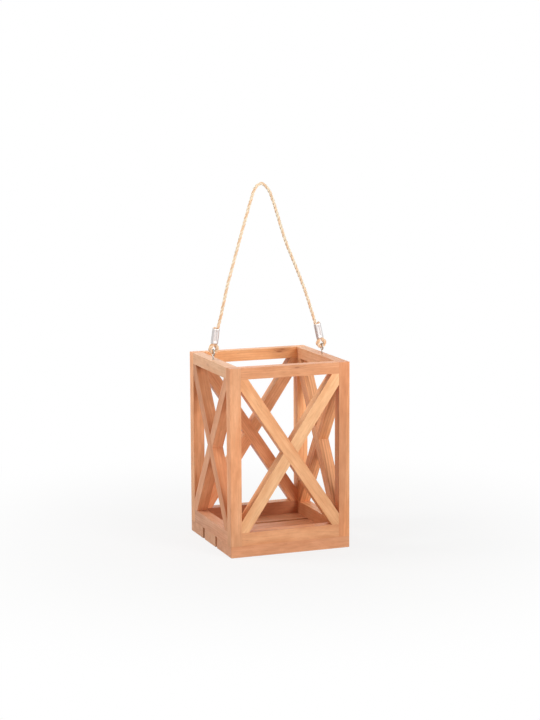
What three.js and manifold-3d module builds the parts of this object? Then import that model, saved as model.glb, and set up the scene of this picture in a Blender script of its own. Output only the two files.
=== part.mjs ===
// Hanging lantern: an open wooden frame with crossed braces, a slatted floor and a rope handle.
// Millimetres, +Z up, origin on the ground under the middle of the wooden body, front towards -Y.
import * as THREE from "three";
import { mergeVertices } from "three/addons/utils/BufferGeometryUtils.js";
import Module from "manifold-3d";

const wasm = await Module();
wasm.setup();

// Overall
const bodyWidth = 200; // left to right
const bodyDepth = 200; // front to back
const bodyHeight = 300; // ground to the top of the frame
const overallHeight = 580; // ground to the top of the raised rope

// Wooden bars: rails and braces are as deep as the square posts, so all faces are flush
const postWidth = 18;
const topRailHeight = 18;
const bottomRailHeight = 21;
const braceWidth = 20;
const slatThickness = 18;
const frontSlatWidth = 70;
const backSlatWidth = 60;
const slatGap = 8; // the middle slat fills what the other two and the gaps leave
const edgeEase = 1; // chamfer along the bars' long edges
const lapGap = 0.3; // at the shoulders of the half-lap where two braces cross
const fitGap = 0.3; // around every pin, nail, screw and rope in its hole

// Dowels between rails and posts
const dowelDiameter = 5;
const dowelInRail = 12;
const postBeyondDowel = 8; // wood left behind a dowel's end in the post
const dowelWall = 2.4; // wood between the two dowel holes that cross in one post

// Nails that hold the slats up to the side rails
const nailDiameter = 2.2;
const nailHeadDiameter = 5;
const nailHeadHeight = 1.2;
const nailRecess = 0.5; // head below the slat's underside
const nailInRail = 13;
const nailPoint = 3;
const nailEdge = 9; // nail to the slat's long edge
const nailBeyondDowel = 4;

// Screw eyes in the side rails
const eyeInset = 7; // eye to the rail's outer face
const eyeWire = 2.4;
const eyeHole = 7.6; // inside the ring
const eyeRise = 5; // ring above the wood
const eyeThreadRoot = 2;
const eyeThreadCrest = 2.7;
const eyeThreadPitch = 1.75;
const railUnderEye = 4; // wood left under the screw's point

// Rope and its crimped ferrules
const ropeDiameter = 5;
const ropeSlack = 0.7; // rope below the top of the eye's hole
const leftRopeTilt = THREE.MathUtils.degToRad(7.8); // each end leans inwards
const rightRopeTilt = THREE.MathUtils.degToRad(12.8);
const loopRadius = 6; // centre line of the loop through the eye
const strandGap = 0.3; // between the two strands in a ferrule
const ferruleRise = 14; // rope in the eye to the ferrule's lower end
const ferruleLength = 24;
const ferruleWall = 0.6;
const tailEnd = 2.5; // cut end of the rope above the ferrule
// Route of the standing rope: share of the way to an eye, share of the way up to the top
const ropeRoute = [
  [-0.871, 0.065], [-0.803, 0.18], [-0.734, 0.3], [-0.647, 0.42], [-0.561, 0.54], [-0.473, 0.66],
  [-0.382, 0.78], [-0.305, 0.88], [-0.249, 0.945], [-0.196, 0.982], [-0.105, 1], [-0.04, 0.985],
  [0.03, 0.95], [0.084, 0.9], [0.159, 0.81], [0.243, 0.7], [0.343, 0.58], [0.467, 0.46],
  [0.59, 0.34], [0.704, 0.22], [0.801, 0.1],
];

// Levels and reaches that follow from them
const halfWidth = bodyWidth / 2;
const halfDepth = bodyDepth / 2;
const openingBottom = slatThickness + bottomRailHeight;
const openingTop = bodyHeight - topRailHeight;
const dowelInPost = postWidth - postBeyondDowel;
const dowelShift = (dowelDiameter + 2 * fitGap + dowelWall) / 2;
const railCentres = { top: bodyHeight - topRailHeight / 2, bottom: slatThickness + bottomRailHeight / 2 };
const middleSlatFront = -halfDepth + frontSlatWidth + slatGap;
const backSlatFront = halfDepth - backSlatWidth;
const middleSlatWidth = backSlatFront - slatGap - middleSlatFront;
const nailTop = slatThickness + nailInRail;
const nailAcross = halfWidth - postWidth / 2;
const eyeAcross = halfWidth - eyeInset;
const eyeCentre = bodyHeight + eyeRise + eyeWire + eyeHole / 2;
const ropeInEye = eyeCentre + eyeHole / 2 - ropeSlack - ropeDiameter / 2;
const strandShift = (ropeDiameter + strandGap) / 2;

const roundSides = 12;
const nailSides = 8;
const ringSteps = 28;
const beyond = 1; // cutting tools reach this far past the face they open

const wood = (color) => new THREE.MeshStandardMaterial({ color, roughness: 0.62, metalness: 0 });
const materials = {
  frame: wood(0xe2a077),
  brace: wood(0xedb283),
  slat: wood(0xc98860),
  dowel: wood(0xd9b38c),
  rope: new THREE.MeshStandardMaterial({ color: 0xe6c398, roughness: 0.9, metalness: 0 }),
  aluminium: new THREE.MeshStandardMaterial({ color: 0xcfcdcb, roughness: 0.35, metalness: 1 }),
  steel: new THREE.MeshStandardMaterial({ color: 0xa8a6a2, roughness: 0.3, metalness: 1 }),
};

function toSolid(geometry) {
  const bare = geometry.clone();
  bare.deleteAttribute("normal");
  bare.deleteAttribute("uv");
  const merged = mergeVertices(bare, 1e-5);
  const vertProperties = new Float32Array(merged.attributes.position.array);
  const triVerts = new Uint32Array(merged.index.array);
  return new wasm.Manifold(new wasm.Mesh({ numProp: 3, vertProperties, triVerts }));
}

function toGeometry(solid) {
  const mesh = solid.getMesh();
  const geometry = new THREE.BufferGeometry();
  geometry.setAttribute("position", new THREE.BufferAttribute(new Float32Array(mesh.vertProperties), 3));
  geometry.setIndex(Array.from(mesh.triVerts));
  geometry.computeVertexNormals();
  return geometry;
}

function cut(geometry, tools) {
  const carved = tools.reduce((solid, tool) => solid.subtract(toSolid(tool)), toSolid(geometry));
  return toGeometry(carved);
}

function piece(name, geometry, material) {
  const mesh = new THREE.Mesh(geometry, material);
  mesh.name = name;
  return mesh;
}

// Bar with eased long edges, centred, along Z: width in X, height in Y
function easedBar(width, height, length) {
  const x = width / 2;
  const y = height / 2;
  const profile = new THREE.Shape();
  profile.moveTo(x, edgeEase - y);
  profile.lineTo(x, y - edgeEase);
  profile.lineTo(x - edgeEase, y);
  profile.lineTo(edgeEase - x, y);
  profile.lineTo(-x, y - edgeEase);
  profile.lineTo(-x, edgeEase - y);
  profile.lineTo(edgeEase - x, -y);
  profile.lineTo(x - edgeEase, -y);
  profile.closePath();
  const bar = new THREE.ExtrudeGeometry(profile, { depth: length, bevelEnabled: false });
  return bar.translate(0, 0, -length / 2);
}

// Round pin or drill along the named axis, centred on the given point
function round(axis, diameter, length, x, y, z) {
  const geometry = new THREE.CylinderGeometry(diameter / 2, diameter / 2, length, roundSides);
  if (axis === "x") geometry.rotateZ(-Math.PI / 2);
  if (axis === "z") geometry.rotateX(Math.PI / 2);
  return geometry.translate(x, y, z);
}

// Front and back rails keep their dowels low and side rails high, so they pass each other in the post
const dowelHeight = (level, isSide) => railCentres[level] + (isSide ? dowelShift : -dowelShift);

function makePost(name, sideX, sideY) {
  const x = sideX * (halfWidth - postWidth / 2);
  const y = sideY * (halfDepth - postWidth / 2);
  const length = bodyHeight - slatThickness;
  const bar = easedBar(postWidth, postWidth, length).translate(x, y, slatThickness + length / 2);
  const drill = dowelDiameter + 2 * fitGap;
  const drillLength = dowelInPost + beyond;
  const holes = Object.keys(railCentres).flatMap((level) => {
    const inX = sideX * (halfWidth - postWidth - beyond + drillLength / 2);
    const inY = sideY * (halfDepth - postWidth - beyond + drillLength / 2);
    return [
      round("x", drill, drillLength, inX, y, dowelHeight(level, false)),
      round("y", drill, drillLength, x, inY, dowelHeight(level, true)),
    ];
  });
  return piece(name, cut(bar, holes), materials.frame);
}

// Nails along a side rail, from front to back, two in each slat
const outermostNail = halfDepth - postWidth - dowelInRail - nailBeyondDowel;
const nailPlaces = [
  -outermostNail,
  middleSlatFront - slatGap - nailEdge,
  middleSlatFront + nailEdge,
  middleSlatFront + middleSlatWidth - nailEdge,
  backSlatFront + nailEdge,
  outermostNail,
];

// One side of the frame in its own axes: x across, y up, z outwards, inner face at z = 0
function makePanel(side, span, isSide) {
  const panel = new THREE.Group();
  const reach = span / 2 - postWidth;
  const depth = postWidth;
  const add = (name, geometry, material) => panel.add(piece(`${side}_${name}`, geometry, material));

  for (const [level, height] of [["top", topRailHeight], ["bottom", bottomRailHeight]]) {
    const pinHeight = dowelHeight(level, isSide);
    const bar = easedBar(depth, height, 2 * reach).rotateY(Math.PI / 2);
    bar.translate(0, railCentres[level], depth / 2);
    const drillLength = dowelInRail + beyond;
    const drillAcross = reach + beyond - drillLength / 2;
    const holes = [-1, 1].map((end) =>
      round("x", dowelDiameter + 2 * fitGap, drillLength, end * drillAcross, pinHeight, depth / 2));
    if (isSide && level === "top") {
      const eyeDepth = topRailHeight - railUnderEye + fitGap;
      const drill = eyeThreadCrest + 2 * fitGap;
      const middle = bodyHeight + (beyond - eyeDepth) / 2;
      holes.push(round("y", drill, eyeDepth + beyond, 0, middle, depth - eyeInset));
    }
    if (isSide && level === "bottom") {
      const length = nailInRail + fitGap + beyond;
      const middle = slatThickness - beyond + length / 2;
      const alongPanel = side === "right" ? 1 : -1;
      for (const place of nailPlaces) {
        holes.push(round("y", nailDiameter + 2 * fitGap, length, alongPanel * place, middle, depth / 2));
      }
    }
    add(`${level}_rail`, cut(bar, holes), materials.frame);
    for (const [end, sign] of [["start", -1], ["end", 1]]) {
      const across = sign * (reach + (dowelInPost - dowelInRail) / 2);
      const length = dowelInPost + dowelInRail - 2 * fitGap;
      const dowel = round("x", dowelDiameter, length, across, pinHeight, depth / 2);
      add(`${level}_dowel_${end}`, dowel, materials.dowel);
    }
  }

  // The rising brace runs from lower left to upper right as seen from outside, the falling one across it
  const rise = openingTop - openingBottom;
  const slope = Math.atan2(rise, 2 * reach);
  const alongRail = braceWidth / 2 / Math.sin(slope);
  const alongPost = braceWidth / 2 / Math.cos(slope);
  for (const [kind, sign] of [["rising", 1], ["falling", -1]]) {
    const outline = new THREE.Shape(
      [
        [-reach, openingBottom],
        [alongRail - reach, openingBottom],
        [reach, openingTop - alongPost],
        [reach, openingTop],
        [reach - alongRail, openingTop],
        [-reach, openingBottom + alongPost],
      ].map(([x, y]) => new THREE.Vector2(sign * x, y)),
    );
    const bar = new THREE.ExtrudeGeometry(outline, {
      depth: depth - 2 * edgeEase,
      bevelThickness: edgeEase,
      bevelSize: edgeEase,
      bevelOffset: -edgeEase,
      bevelSegments: 1,
    }).translate(0, 0, edgeEase);
    const lapDepth = depth / 2 + beyond;
    const lap = new THREE.BoxGeometry(4 * braceWidth, braceWidth + 2 * lapGap, lapDepth)
      .rotateZ(-sign * slope)
      .translate(0, openingBottom + rise / 2, (depth + sign * lapDepth) / 2);
    add(`${kind}_brace`, cut(bar, [lap]), materials.brace);
  }
  return panel;
}

function makeSlat(name, front, width, nails) {
  const bar = easedBar(slatThickness, width, bodyWidth).rotateY(Math.PI / 2);
  bar.translate(0, front + width / 2, slatThickness / 2);
  const through = slatThickness + 2 * beyond;
  const headRoom = nailRecess + nailHeadHeight + fitGap;
  const holes = [-nailAcross, nailAcross].flatMap((x) => nails.flatMap((y) => [
    round("z", nailDiameter + 2 * fitGap, through, x, y, slatThickness / 2),
    round("z", nailHeadDiameter + 2 * fitGap, headRoom + beyond, x, y, (headRoom - beyond) / 2),
  ]));
  return piece(name, cut(bar, holes), materials.slat);
}

function makeNail(name, x, y) {
  const head = nailRecess + nailHeadHeight;
  const profile = [
    [0, nailRecess],
    [nailHeadDiameter / 2, nailRecess],
    [nailHeadDiameter / 2, head],
    [nailDiameter / 2, head],
    [nailDiameter / 2, nailTop - nailPoint],
    [0, nailTop],
  ].map(([r, z]) => new THREE.Vector2(r, z));
  const body = new THREE.LatheGeometry(profile, nailSides).rotateX(Math.PI / 2);
  const nail = piece(name, body, materials.steel);
  nail.position.set(x, y, 0);
  return nail;
}

// Ring across the rail on a short shank, with a coarse thread down into the wood
function makeEye(name, side) {
  const ring = new THREE.TorusGeometry((eyeHole + eyeWire) / 2, eyeWire / 2, roundSides, ringSteps)
    .rotateY(Math.PI / 2)
    .translate(0, 0, eyeCentre - bodyHeight);
  const threadLength = topRailHeight - railUnderEye;
  const turns = Math.floor(threadLength / eyeThreadPitch) - 1;
  const profile = [[0, -threadLength]];
  for (let turn = turns; turn > 0; turn -= 1) {
    profile.push([eyeThreadRoot / 2, -(turn + 0.5) * eyeThreadPitch]);
    profile.push([eyeThreadCrest / 2, -turn * eyeThreadPitch]);
  }
  const shankTop = eyeRise + eyeWire / 2;
  profile.push([eyeThreadRoot / 2, -eyeThreadPitch / 2], [eyeWire / 2, 0]);
  profile.push([eyeWire / 2, shankTop], [0, shankTop]);
  const points = profile.map(([r, z]) => new THREE.Vector2(r, z));
  const shank = new THREE.LatheGeometry(points, roundSides).rotateX(Math.PI / 2);
  const eye = piece(name, toGeometry(toSolid(ring).add(toSolid(shank))), materials.steel);
  eye.position.set(side * eyeAcross, 0, bodyHeight);
  return eye;
}

// Outline with round ends, round two strands side by side
function strandOutline(margin) {
  const radius = ropeDiameter / 2 + margin;
  return new THREE.Shape()
    .absarc(strandShift, 0, radius, -Math.PI / 2, Math.PI / 2, false)
    .absarc(-strandShift, 0, radius, Math.PI / 2, 1.5 * Math.PI, false);
}

const ropeTilt = (side) => (side < 0 ? leftRopeTilt : rightRopeTilt);

function makeFerrule(name, side) {
  const sleeve = strandOutline(fitGap + ferruleWall);
  sleeve.holes.push(strandOutline(fitGap));
  const options = { depth: ferruleLength, bevelEnabled: false, curveSegments: 8 };
  const ferrule = piece(name, new THREE.ExtrudeGeometry(sleeve, options), materials.aluminium);
  ferrule.geometry.translate(0, 0, ferruleRise);
  ferrule.position.set(side * eyeAcross, 0, ropeInEye);
  ferrule.rotation.y = -side * ropeTilt(side);
  return ferrule;
}

// One end of the rope from its cut tail, down through the ferrule, round the eye and up again:
// first value towards the inside of the lantern, second up along the ferrule
function ropeEnd() {
  const heights = [tailEnd + ferruleLength, ferruleLength / 2, 0];
  const straight = heights.map((up) => [strandShift, ferruleRise + up]);
  const loopTop = ferruleRise - loopRadius;
  const narrowing = [1 / 3, 2 / 3].map((share) => {
    const eased = (1 - Math.cos(Math.PI * share)) / 2;
    return [strandShift + (loopRadius - strandShift) * eased, ferruleRise - loopTop * share];
  });
  const arc = [0, 1, 2].map((step) => {
    const angle = (step * Math.PI) / 6;
    return [loopRadius * Math.cos(angle), loopRadius * (1 - Math.sin(angle))];
  });
  const outerHalf = [...straight, ...narrowing, ...arc].map(([across, up]) => [-across, up]);
  const innerHalf = outerHalf.map(([across, up]) => [-across, up]).reverse();
  innerHalf[innerHalf.length - 1][1] = ferruleRise + ferruleLength;
  return [...outerHalf, [0, 0], ...innerHalf];
}

function ropeLine() {
  const place = (side) => ([across, up]) => {
    const tilt = ropeTilt(side);
    const x = eyeAcross - across * Math.cos(tilt) - up * Math.sin(tilt);
    return new THREE.Vector3(side * x, 0, ropeInEye - across * Math.sin(tilt) + up * Math.cos(tilt));
  };
  const left = ropeEnd().map(place(-1));
  const right = ropeEnd().map(place(1)).reverse();
  const bottom = left[left.length - 1].z;
  const top = overallHeight - ropeDiameter / 2;
  const route = ropeRoute.map(([across, up]) =>
    new THREE.Vector3(across * eyeAcross, 0, bottom + up * (top - bottom)));
  const standing = new THREE.CatmullRomCurve3([left[left.length - 1], ...route, right[0]]);
  return [...left, ...standing.getPoints(2 * (ropeRoute.length + 1)).slice(1, -1), ...right];
}

// A curve that an extrusion follows from one given point to the next
class PointCurve extends THREE.CatmullRomCurve3 {
  getPointAt(share, target) {
    return this.getPoint(share, target);
  }

  getTangentAt(share, target) {
    return this.getTangent(share, target);
  }
}

function makeRope() {
  const line = ropeLine();
  const corners = Array.from({ length: roundSides }, (_, side) => {
    const angle = (2 * Math.PI * side) / roundSides;
    return new THREE.Vector2(Math.cos(angle), Math.sin(angle)).multiplyScalar(ropeDiameter / 2);
  });
  const section = new THREE.Shape(corners);
  const options = { steps: line.length - 1, extrudePath: new PointCurve(line), bevelEnabled: false };
  return piece("rope", new THREE.ExtrudeGeometry(section, options), materials.rope);
}

const lantern = new THREE.Group();

for (const [depthName, sideY] of [["front", -1], ["back", 1]]) {
  for (const [widthName, sideX] of [["left", -1], ["right", 1]]) {
    lantern.add(makePost(`${depthName}_${widthName}_post`, sideX, sideY));
  }
}

// Each panel is built facing the front and turned in quarter turns about the lantern's middle
for (const [quarter, side] of ["front", "right", "back", "left"].entries()) {
  const isSide = quarter % 2 === 1;
  const turned = new THREE.Group();
  turned.rotation.z = (quarter * Math.PI) / 2;
  const upright = makePanel(side, isSide ? bodyDepth : bodyWidth, isSide);
  upright.rotation.x = Math.PI / 2;
  upright.position.y = -((isSide ? halfWidth : halfDepth) - postWidth);
  turned.add(upright);
  lantern.add(turned);
}

lantern.add(makeSlat("front_slat", -halfDepth, frontSlatWidth, nailPlaces.slice(0, 2)));
lantern.add(makeSlat("middle_slat", middleSlatFront, middleSlatWidth, nailPlaces.slice(2, 4)));
lantern.add(makeSlat("back_slat", backSlatFront, backSlatWidth, nailPlaces.slice(4, 6)));

for (const [sideName, side] of [["left", -1], ["right", 1]]) {
  for (const [index, y] of nailPlaces.entries()) {
    lantern.add(makeNail(`${sideName}_nail_${index + 1}`, side * nailAcross, y));
  }
  lantern.add(makeEye(`${sideName}_screw_eye`, side));
  lantern.add(makeFerrule(`${sideName}_ferrule`, side));
}
lantern.add(makeRope());

export default lantern;
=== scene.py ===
import math
import random

import bmesh
import bpy
from mathutils import Matrix, Quaternion, Vector


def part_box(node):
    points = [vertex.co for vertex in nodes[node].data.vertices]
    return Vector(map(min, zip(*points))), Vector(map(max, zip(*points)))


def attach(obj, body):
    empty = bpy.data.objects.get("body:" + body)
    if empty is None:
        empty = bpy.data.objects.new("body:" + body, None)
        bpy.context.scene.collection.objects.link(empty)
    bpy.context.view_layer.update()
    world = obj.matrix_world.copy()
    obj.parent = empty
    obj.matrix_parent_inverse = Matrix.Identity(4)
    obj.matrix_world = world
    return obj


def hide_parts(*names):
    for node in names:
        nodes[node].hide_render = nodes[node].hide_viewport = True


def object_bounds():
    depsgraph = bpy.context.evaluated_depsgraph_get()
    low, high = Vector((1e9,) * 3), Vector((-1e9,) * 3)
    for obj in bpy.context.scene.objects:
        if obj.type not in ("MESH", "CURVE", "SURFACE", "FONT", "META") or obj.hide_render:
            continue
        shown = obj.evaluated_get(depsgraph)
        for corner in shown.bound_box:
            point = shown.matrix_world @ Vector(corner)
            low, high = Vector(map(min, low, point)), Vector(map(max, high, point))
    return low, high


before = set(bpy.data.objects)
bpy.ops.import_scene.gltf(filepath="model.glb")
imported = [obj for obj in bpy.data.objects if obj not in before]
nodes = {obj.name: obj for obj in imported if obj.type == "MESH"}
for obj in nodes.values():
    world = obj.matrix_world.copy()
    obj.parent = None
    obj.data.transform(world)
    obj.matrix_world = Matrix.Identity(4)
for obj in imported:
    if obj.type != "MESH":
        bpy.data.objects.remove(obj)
cadBounds = [list(corner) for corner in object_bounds()]
scene = bpy.context.scene
scene.view_settings.view_transform = "Standard"
mm = 0.001


def nodeBox(name):
    return [Vector(corner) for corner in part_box(name)]


def middleAndSize(name):
    low, high = nodeBox(name)
    return (low + high) / 2, high - low


def addObject(name, data):
    obj = bpy.data.objects.new(name, data)
    scene.collection.objects.link(obj)
    return obj


def makeObject(name, verts, faces, smooth=True):
    mesh = bpy.data.meshes.new(name)
    mesh.from_pydata([tuple(v) for v in verts], [], faces)
    mesh.validate()
    mesh.polygons.foreach_set("use_smooth", [smooth] * len(mesh.polygons))
    return addObject(name, mesh)


# Faces of a tube from its rings of points: it has flat ends, or is closed on itself
def tubeFaces(rings, sides, closed=False):
    faces = []
    for ring in range(rings if closed else rings - 1):
        above = (ring + 1) % rings
        for k in range(sides):
            n = (k + 1) % sides
            faces.append((ring * sides + k, ring * sides + n, above * sides + n, above * sides + k))
    if not closed:
        last = (rings - 1) * sides
        faces += [tuple(reversed(range(sides))), tuple(range(last, last + sides))]
    return faces


# Camera: long lens, low, from the front and a little to the left
cameraLook = {
    "azimuth": 20.37,  # degrees round to the left of straight in front
    "elevation": 8.715,
    "roll": -0.28,
    "distance": 3.0466,
    "lens": 94.08,
    "nearest": 0.1,
    "farthest": 50,
    "aimShift": Vector((0.0103, 0.0192, 0.0009)),  # from the middle of the lantern's height
}


def makeCamera():
    azimuth, elevation = math.radians(cameraLook["azimuth"]), math.radians(cameraLook["elevation"])
    look = Vector((
        math.sin(azimuth) * math.cos(elevation),
        math.cos(azimuth) * math.cos(elevation),
        -math.sin(elevation),
    ))
    data = bpy.data.cameras.new("camera")
    data.lens = cameraLook["lens"]
    data.clip_start, data.clip_end = cameraLook["nearest"], cameraLook["farthest"]
    camera = addObject("camera", data)
    middle = Vector((0, 0, cadBounds[1][2] / 2))
    camera.location = middle + cameraLook["aimShift"] - look * cameraLook["distance"]
    roll = Quaternion((0, 0, 1), math.radians(cameraLook["roll"]))
    camera.rotation_mode = "QUATERNION"
    camera.rotation_quaternion = look.to_track_quat("-Z", "Y") @ roll
    scene.camera = camera


# Rope: three strands laid together, with a loop and a crimped ferrule at each end
rope = {
    "diameter": 5 * mm,
    "pitch": 20.8 * mm,  # one full turn of a strand
    "step": 0.65 * mm,
    "strandRadius": 1.32 * mm,
    "strandReach": 1.28 * mm,  # from the rope's middle to a strand's middle
    "arcPoints": 12,  # round the open side of one strand
    "pivot": 311.8 * mm,  # height of the rope's middle in the eyes
    "eyeAcross": 93 * mm,
    "leftTilt": math.radians(7.8),
    "rightTilt": math.radians(12.8),
    "loopRadius": 6 * mm,
    "loopSwell": 0.16,  # the strands open out round a bend
    "swellEnd": 6 * mm,  # below the ferrule, where the swelling is full
    "loopFill": 0.17,  # and bulge into the loop above the eye
    "fillFrom": 4 * mm,  # height above the eye where the bulge starts
    "fillRise": 3 * mm,  # over which it grows
    "fillFall": 2.5 * mm,  # and dies out under the ferrule
    "cutEnds": (0.72, 0.9),  # size of the last rings: the cut ends are slightly rounded
    "strandShift": 2.65 * mm,  # from the ferrule's middle line
    "ferruleRise": 14 * mm,
    "ferruleLength": 24 * mm,
    "tail": 2.5 * mm,
    "top": 577.5 * mm,
    # share of the way to an eye, share of the way up
    "route": [
        (-0.871, 0.065), (-0.803, 0.18), (-0.734, 0.3), (-0.647, 0.42), (-0.561, 0.54),
        (-0.473, 0.66), (-0.382, 0.78), (-0.305, 0.88), (-0.249, 0.945), (-0.196, 0.982),
        (-0.105, 1), (-0.04, 0.985), (0.03, 0.95), (0.084, 0.9), (0.159, 0.81), (0.243, 0.7),
        (0.343, 0.58), (0.467, 0.46), (0.59, 0.34), (0.704, 0.22), (0.801, 0.1),
    ],
}


def tiltOf(side):
    return rope["leftTilt"] if side < 0 else rope["rightTilt"]


# Middle line of the rope's end: down through the ferrule, round the eye and up through it again
def ropeEnd(side):
    shift, radius, rise = rope["strandShift"], rope["loopRadius"], rope["ferruleRise"]
    length = rope["ferruleLength"]
    outer = [(-shift, rise + length + rope["tail"]), (-shift, rise + length / 2), (-shift, rise)]
    for share in (1 / 3, 2 / 3):
        eased = (1 - math.cos(math.pi * share)) / 2
        outer.append((-shift - (radius - shift) * eased, rise - (rise - radius) * share))
    for turn in range(3):
        angle = turn * math.pi / 6
        outer.append((-radius * math.cos(angle), radius * (1 - math.sin(angle))))
    inner = [(-across, up) for across, up in reversed(outer)]
    inner[-1] = (shift, rise + length)
    tilt = tiltOf(side)
    points = []
    for across, up in outer + [(0, 0)] + inner:
        x = rope["eyeAcross"] - across * math.cos(tilt) - up * math.sin(tilt)
        z = rope["pivot"] - across * math.sin(tilt) + up * math.cos(tilt)
        points.append(Vector((side * x, 0, z)))
    return points


def ropePoints():
    left, right = ropeEnd(-1), ropeEnd(1)[::-1]
    bottom = left[-1].z
    rise = rope["top"] - bottom
    reach = rope["eyeAcross"]
    standing = [Vector((across * reach, 0, bottom + up * rise)) for across, up in rope["route"]]
    return left + standing + right


# Smooth line through the points, the knots spaced by the root of the distance
def smoothLine(points, pieces=16):
    ends = [points[0] * 2 - points[1], *points, points[-1] * 2 - points[-2]]
    line = []
    for index in range(1, len(ends) - 2):
        p0, p1, p2, p3 = ends[index - 1:index + 3]
        t1 = (p1 - p0).length ** 0.5
        t2 = t1 + (p2 - p1).length ** 0.5
        t3 = t2 + (p3 - p2).length ** 0.5
        for piece in range(pieces):
            t = t1 + (t2 - t1) * piece / pieces
            a1 = p0 * ((t1 - t) / t1) + p1 * (t / t1)
            a2 = p1 * ((t2 - t) / (t2 - t1)) + p2 * ((t - t1) / (t2 - t1))
            a3 = p2 * ((t3 - t) / (t3 - t2)) + p3 * ((t - t2) / (t3 - t2))
            b1 = a1 * ((t2 - t) / t2) + a2 * (t / t2)
            b2 = a2 * ((t3 - t) / (t3 - t1)) + a3 * ((t - t1) / (t3 - t1))
            line.append(b1 * ((t2 - t) / (t2 - t1)) + b2 * ((t - t1) / (t2 - t1)))
    return line + [points[-1]]


# Points at even steps along the line, and its length
def evenly(line, step):
    lengths = [0.0]
    for a, b in zip(line, line[1:]):
        lengths.append(lengths[-1] + (b - a).length)
    count = max(2, round(lengths[-1] / step))
    points, place = [], 0
    for index in range(count + 1):
        target = lengths[-1] * index / count
        while place < len(line) - 2 and lengths[place + 1] < target:
            place += 1
        share = (target - lengths[place]) / (lengths[place + 1] - lengths[place])
        points.append(line[place].lerp(line[place + 1], share))
    return points, lengths[-1]


# Outline of three soft strands pressed together, as points round the rope
def ropeProfile():
    strand, reach = rope["strandRadius"], rope["strandReach"]
    # Half the open arc of a strand, up to where it meets the next one
    halfOpen = math.radians(150) - math.acos(reach * math.sqrt(3) / 2 / strand)
    profile = []
    for k in range(3):
        centre = k * math.tau / 3
        for step in range(rope["arcPoints"]):
            turn = centre - halfOpen + 2 * halfOpen * step / rope["arcPoints"]
            profile.append((
                reach * math.cos(centre) + strand * math.cos(turn),
                reach * math.sin(centre) + strand * math.sin(turn),
            ))
    return profile


def makeRope():
    points, length = evenly(smoothLine(ropePoints()), rope["step"])
    profile = ropeProfile()
    sides, last = len(profile), len(points) - 1
    verts = []
    across = Vector((0, 1, 0))  # the rope lies in the plane of the two eyes
    cutEnds = rope["cutEnds"]
    for index, point in enumerate(points):
        ahead = points[min(index + 1, last)] - points[max(index - 1, 0)]
        up = ahead.normalized().cross(across)
        turn = math.tau * length * index / last / rope["pitch"]
        c, s = math.cos(turn), math.sin(turn)
        fromEnd = min(index, last - index)
        size = cutEnds[fromEnd] if fromEnd < len(cutEnds) else 1
        side = -1 if point.x < 0 else 1
        tilt = -side * tiltOf(side)
        fromEye = point.x - side * rope["eyeAcross"]
        rise = (point.z - rope["pivot"]) * math.cos(tilt) + fromEye * math.sin(tilt)
        toFerrule = max(0, rope["ferruleRise"] - rise)
        size *= 1 + rope["loopSwell"] * min(1, toFerrule / rope["swellEnd"])
        fill = min(1, max(0, rise - rope["fillFrom"]) / rope["fillRise"])
        fill *= min(1, toFerrule / rope["fillFall"]) * rope["loopFill"]
        size += fill
        point = point + up * (fill * rope["diameter"] / 2)
        for a, b in profile:
            a, b = a * size, b * size
            verts.append(point + across * (a * c - b * s) + up * (a * s + b * c))
    handle = makeObject("twisted_rope", verts, tubeFaces(len(points), sides))
    uvs = handle.data.uv_layers.new(name="lay")
    loops = handle.data.loops
    for face in handle.data.polygons:
        corners = [divmod(loops[loop].vertex_index, sides) for loop in face.loop_indices]
        seam = {k for ring, k in corners} == {0, sides - 1}
        for loop, (ring, k) in zip(face.loop_indices, corners):
            k = sides if seam and k == 0 else k
            uvs.data[loop].uv = (length * ring / last, k / rope["arcPoints"])
    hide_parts("rope")
    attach(handle, "handle")
    makeFerrules()
    print("rope", round(length, 4), "m")
    return handle


# Ferrules: oval aluminium sleeves pressed over the two strands of rope
ferrule = {
    "bore": 2.78 * mm,  # radius round each strand
    "wall": 0.6 * mm,
    "pinch": 0.42 * mm,  # depth of the pressed groove between the strands
    "pinchEnds": 3.2 * mm,  # it deepens over this length, from half of it in from each end
    "round": 0.3 * mm,
    "steps": 24,  # along a sleeve
    "arcStep": 15,  # degrees, round its two sides
    "sharpAngle": math.radians(50),
}


def sleeveOutline(radius, pinch):
    shift = rope["strandShift"]
    outline = []
    for side in (1, -1):
        for angle in range(-90, 91, ferrule["arcStep"]):
            turn = side * math.radians(angle)
            outline.append((side * shift + side * radius * math.cos(turn), radius * math.sin(turn)))
        for step in range(1, 8):
            x = side * shift * (1 - step / 4)
            dip = pinch * math.cos(math.pi / 2 * x / shift) ** 2
            outline.append((x, side * (radius - dip)))
    return outline


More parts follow.
